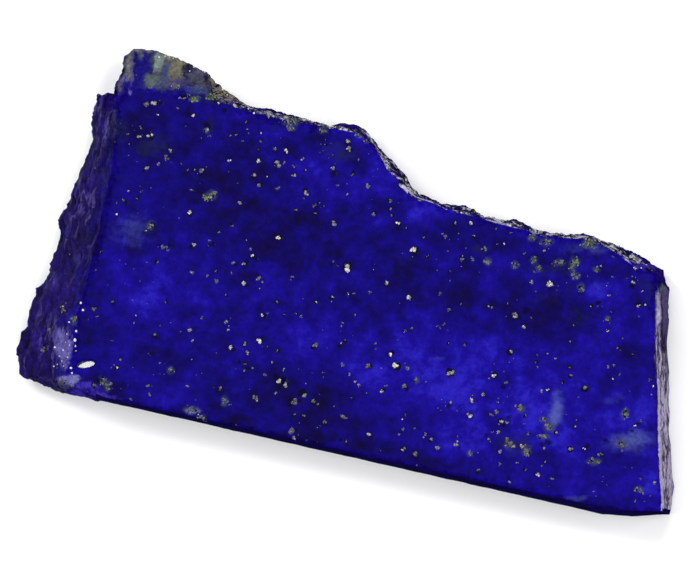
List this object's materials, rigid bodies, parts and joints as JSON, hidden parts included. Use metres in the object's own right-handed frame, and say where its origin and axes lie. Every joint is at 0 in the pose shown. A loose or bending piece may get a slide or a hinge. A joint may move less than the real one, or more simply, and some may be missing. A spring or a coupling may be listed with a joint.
{
  "type": "rough lapis lazuli slice",
  "caption": "Thin slice of rough lapis lazuli: one polished face, a sawn back, two sawn edges and two naturally broken edges, lying flat on its back.",
  "frame": {"origin": "on the back, which is the face that it rests on, under the middle of the outline's box", "axes": "+X along the long sawn edge, +Y from the long sawn edge to the broken edge, +Z from the sawn back to the polished face"},
  "size_m": [0.034, 0.0178, 0.003],
  "materials": {
    "lapis": "polished ultramarine lapis with pyrite flecks, and rough broken stone on two edges",
    "pyrite": "small pale brassy grains"
  },
  "bodies": {
    "root": {"lapis_slice": "lapis"}
  },
  "joints": []
}
